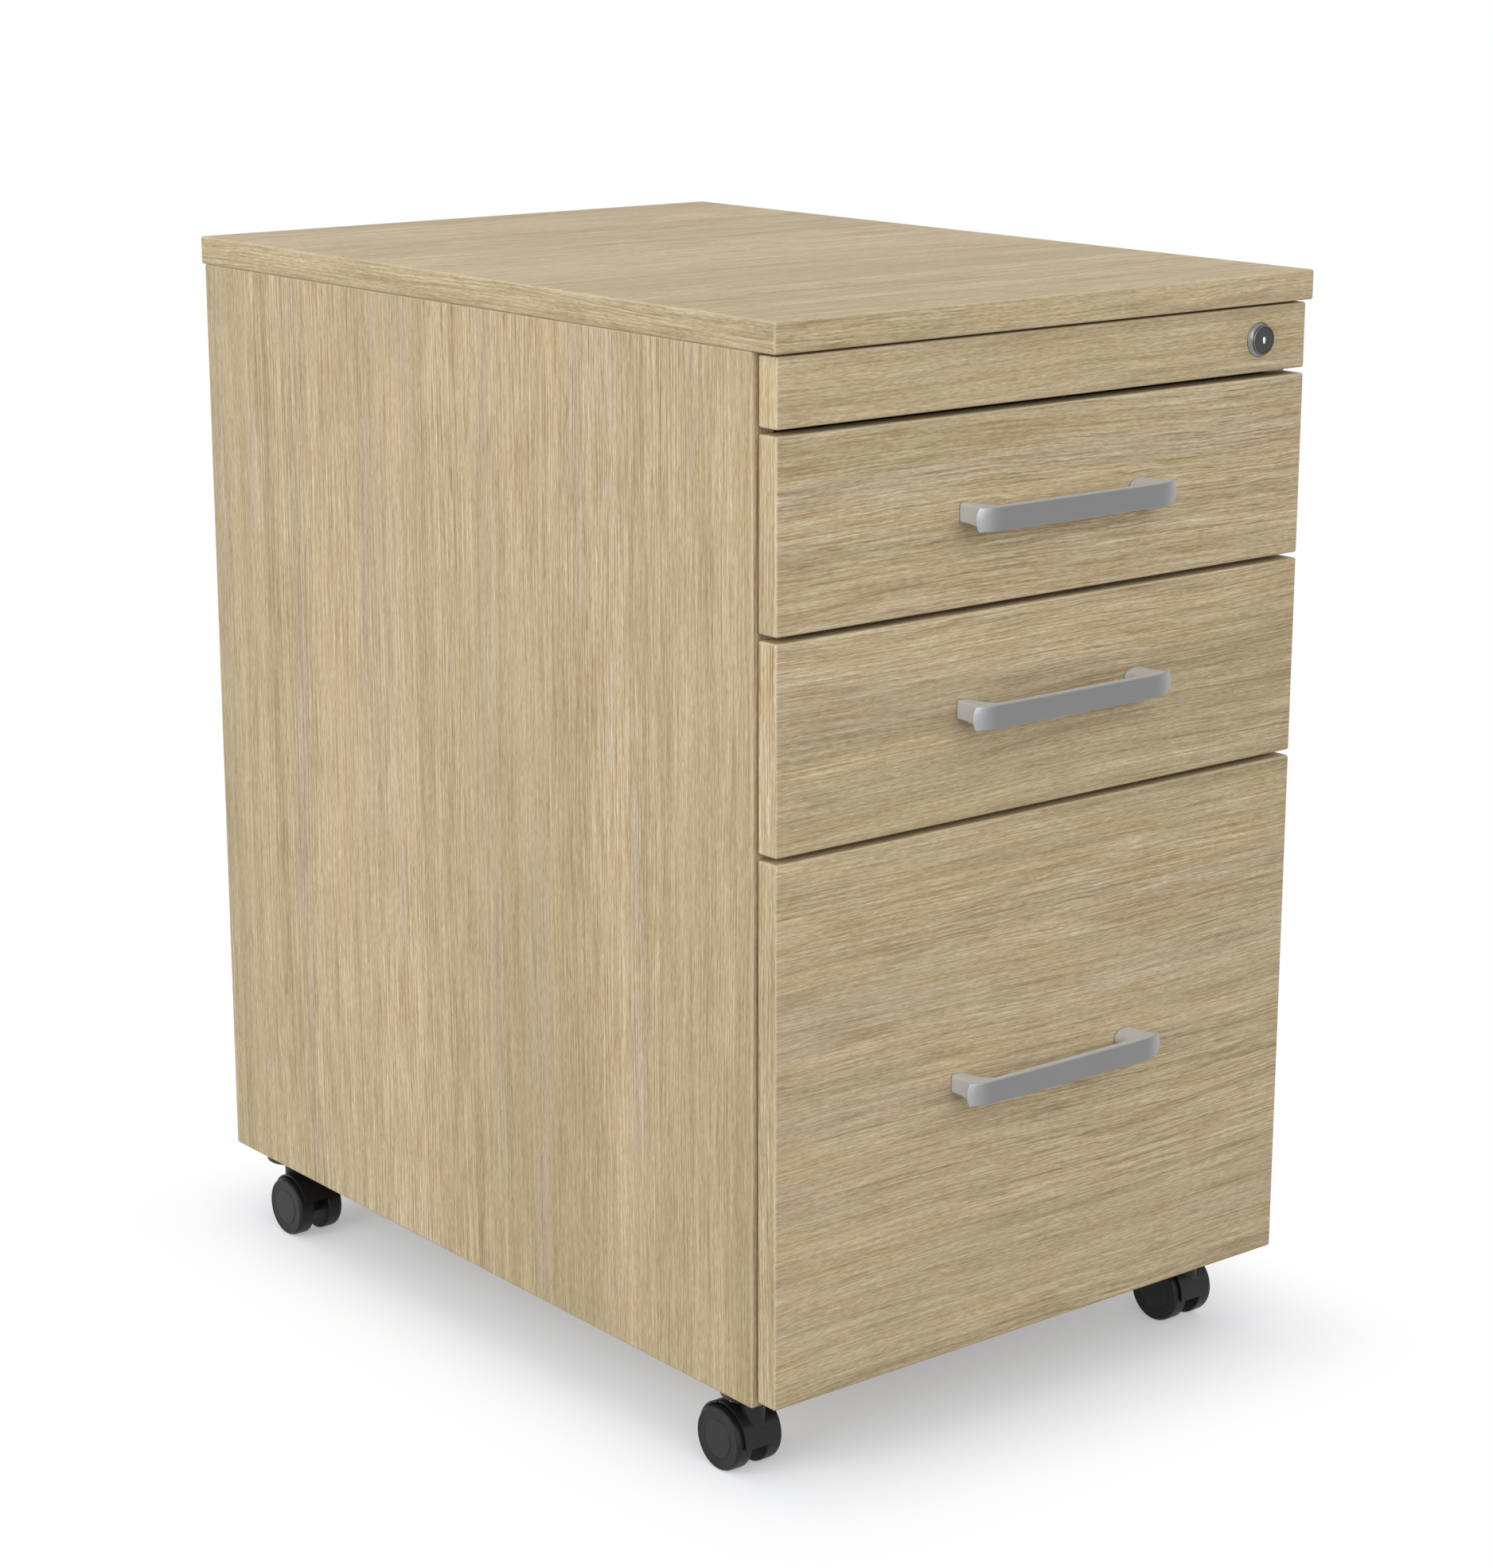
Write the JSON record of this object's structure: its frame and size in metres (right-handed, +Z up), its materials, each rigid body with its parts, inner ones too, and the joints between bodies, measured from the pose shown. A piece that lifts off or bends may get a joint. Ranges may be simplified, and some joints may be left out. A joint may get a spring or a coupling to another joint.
{
  "type": "mobile drawer pedestal",
  "caption": "Oak-effect mobile drawer pedestal with box drawers over a file drawer, bow handles, a lock rail with central locking, and twin-wheel castors.",
  "frame": {"origin": "on the floor, in the middle of the footprint from the handles to the top's back edge", "axes": "+Z up, +X to the right seen from the front; the drawer fronts face -Y"},
  "size_m": [0.42, 0.6225, 0.685],
  "materials": {
    "oak_laminate": "light oak effect laminate with a fine straight grain",
    "satin_metal": "satin grey metal",
    "zinc_steel": "bright zinc plated steel",
    "drawer_enamel": "light grey enamelled sheet steel",
    "lock_nickel": "polished nickel",
    "lock_face": "dark lacquered metal",
    "castor_plastic": "black moulded plastic",
    "wheel_plastic": "black hard plastic tread",
    "dowel_wood": "plain beech"
  },
  "bodies": {
    "carcass": {"top_panel": "oak_laminate", "left_side_panel": "oak_laminate", "right_side_panel": "oak_laminate", "back_panel": "oak_laminate", "bottom_panel": "oak_laminate", "lock_rail": "oak_laminate", "rail_brackets": "zinc_steel", "panel_screws": "zinc_steel", "panel_dowels": "dowel_wood", "cam_discs": "zinc_steel", "cam_bolts": "zinc_steel", "castor_plates": "zinc_steel", "castor_pins": "zinc_steel", "lock_body": "lock_nickel", "lock_nut": "zinc_steel", "locking_bar_guides": "zinc_steel", "upper_runner_channels": "zinc_steel", "middle_runner_channels": "zinc_steel", "lower_runner_channels": "zinc_steel"},
    "lock_cylinder": {"lock_plug": "lock_face", "lock_crank": "zinc_steel"},
    "locking_bar": {"locking_bar": "zinc_steel"},
    "upper_drawer": {"upper_drawer_front": "oak_laminate", "upper_drawer_box": "drawer_enamel", "upper_handle": "satin_metal", "upper_drawer_screws": "zinc_steel", "upper_drawer_slides": "zinc_steel", "upper_lock_catch": "zinc_steel"},
    "upper_carriers": {"upper_runner_carriers": "zinc_steel"},
    "middle_drawer": {"middle_drawer_front": "oak_laminate", "middle_drawer_box": "drawer_enamel", "middle_handle": "satin_metal", "middle_drawer_screws": "zinc_steel", "middle_drawer_slides": "zinc_steel", "middle_lock_catch": "zinc_steel"},
    "middle_carriers": {"middle_runner_carriers": "zinc_steel"},
    "lower_drawer": {"lower_drawer_front": "oak_laminate", "lower_drawer_box": "drawer_enamel", "lower_handle": "satin_metal", "lower_drawer_screws": "zinc_steel", "lower_drawer_slides": "zinc_steel", "lower_lock_catch": "zinc_steel", "file_rails": "zinc_steel"},
    "lower_carriers": {"lower_runner_carriers": "zinc_steel"},
    "front_left_castor": {"front_left_castor_hood": "castor_plastic", "front_left_castor_axle": "zinc_steel"},
    "front_left_castor_left_wheel": {"front_left_castor_left_wheel": "wheel_plastic"},
    "front_left_castor_right_wheel": {"front_left_castor_right_wheel": "wheel_plastic"},
    "front_right_castor": {"front_right_castor_hood": "castor_plastic", "front_right_castor_axle": "zinc_steel"},
    "front_right_castor_left_wheel": {"front_right_castor_left_wheel": "wheel_plastic"},
    "front_right_castor_right_wheel": {"front_right_castor_right_wheel": "wheel_plastic"},
    "rear_left_castor": {"rear_left_castor_hood": "castor_plastic", "rear_left_castor_axle": "zinc_steel"},
    "rear_left_castor_left_wheel": {"rear_left_castor_left_wheel": "wheel_plastic"},
    "rear_left_castor_right_wheel": {"rear_left_castor_right_wheel": "wheel_plastic"},
    "rear_right_castor": {"rear_right_castor_hood": "castor_plastic", "rear_right_castor_axle": "zinc_steel"},
    "rear_right_castor_left_wheel": {"rear_right_castor_left_wheel": "wheel_plastic"},
    "rear_right_castor_right_wheel": {"rear_right_castor_right_wheel": "wheel_plastic"}
  },
  "joints": [
    {"name": "lock_turn", "type": "hinge", "parent": "carcass", "child": "lock_cylinder", "pos_m": [0.1665, -0.28625, 0.64575], "axis": [0, 1, 0], "range_deg": [0, 90]},
    {"name": "locking_bar_drop", "type": "slide", "parent": "carcass", "child": "locking_bar", "axis": [0, 0, -1], "range_m": [0, 0.0099]},
    {"name": "upper_drawer_slide", "type": "slide", "parent": "carcass", "child": "upper_drawer", "axis": [0, -1, 0], "range_m": [0, 0.48]},
    {"name": "upper_carrier_slide", "type": "slide", "parent": "carcass", "child": "upper_carriers", "axis": [0, -1, 0], "range_m": [0, 0.24]},
    {"name": "middle_drawer_slide", "type": "slide", "parent": "carcass", "child": "middle_drawer", "axis": [0, -1, 0], "range_m": [0, 0.48]},
    {"name": "middle_carrier_slide", "type": "slide", "parent": "carcass", "child": "middle_carriers", "axis": [0, -1, 0], "range_m": [0, 0.24]},
    {"name": "lower_drawer_slide", "type": "slide", "parent": "carcass", "child": "lower_drawer", "axis": [0, -1, 0], "range_m": [0, 0.48]},
    {"name": "lower_carrier_slide", "type": "slide", "parent": "carcass", "child": "lower_carriers", "axis": [0, -1, 0], "range_m": [0, 0.24]},
    {"name": "front_left_castor_swivel", "type": "hinge", "parent": "carcass", "child": "front_left_castor", "pos_m": [-0.188, -0.24325, 0.045], "axis": [0, 0, 1], "continuous": true},
    {"name": "front_left_castor_left_roll", "type": "hinge", "parent": "front_left_castor", "child": "front_left_castor_left_wheel", "pos_m": [-0.188, -0.23075, 0.02], "axis": [1, 0, 0], "continuous": true},
    {"name": "front_left_castor_right_roll", "type": "hinge", "parent": "front_left_castor", "child": "front_left_castor_right_wheel", "pos_m": [-0.188, -0.23075, 0.02], "axis": [1, 0, 0], "continuous": true},
    {"name": "front_right_castor_swivel", "type": "hinge", "parent": "carcass", "child": "front_right_castor", "pos_m": [0.174, -0.24325, 0.045], "axis": [0, 0, 1], "continuous": true},
    {"name": "front_right_castor_left_roll", "type": "hinge", "parent": "front_right_castor", "child": "front_right_castor_left_wheel", "pos_m": [0.174, -0.23075, 0.02], "axis": [1, 0, 0], "continuous": true},
    {"name": "front_right_castor_right_roll", "type": "hinge", "parent": "front_right_castor", "child": "front_right_castor_right_wheel", "pos_m": [0.174, -0.23075, 0.02], "axis": [1, 0, 0], "continuous": true},
    {"name": "rear_left_castor_swivel", "type": "hinge", "parent": "carcass", "child": "rear_left_castor", "pos_m": [-0.188, 0.26575, 0.045], "axis": [0, 0, 1], "continuous": true},
    {"name": "rear_left_castor_left_roll", "type": "hinge", "parent": "rear_left_castor", "child": "rear_left_castor_left_wheel", "pos_m": [-0.188, 0.25325, 0.02], "axis": [1, 0, 0], "continuous": true},
    {"name": "rear_left_castor_right_roll", "type": "hinge", "parent": "rear_left_castor", "child": "rear_left_castor_right_wheel", "pos_m": [-0.188, 0.25325, 0.02], "axis": [1, 0, 0], "continuous": true},
    {"name": "rear_right_castor_swivel", "type": "hinge", "parent": "carcass", "child": "rear_right_castor", "pos_m": [0.174, 0.26575, 0.045], "axis": [0, 0, 1], "continuous": true},
    {"name": "rear_right_castor_left_roll", "type": "hinge", "parent": "rear_right_castor", "child": "rear_right_castor_left_wheel", "pos_m": [0.174, 0.25325, 0.02], "axis": [1, 0, 0], "continuous": true},
    {"name": "rear_right_castor_right_roll", "type": "hinge", "parent": "rear_right_castor", "child": "rear_right_castor_right_wheel", "pos_m": [0.174, 0.25325, 0.02], "axis": [1, 0, 0], "continuous": true}
  ],
  "couplings": [
    {"joint": "lock_turn", "follows": "locking_bar_drop", "rad_per_m": 158.66},
    {"joint": "upper_carrier_slide", "follows": "upper_drawer_slide", "ratio": 0.5},
    {"joint": "middle_carrier_slide", "follows": "middle_drawer_slide", "ratio": 0.5},
    {"joint": "lower_carrier_slide", "follows": "lower_drawer_slide", "ratio": 0.5}
  ]
}
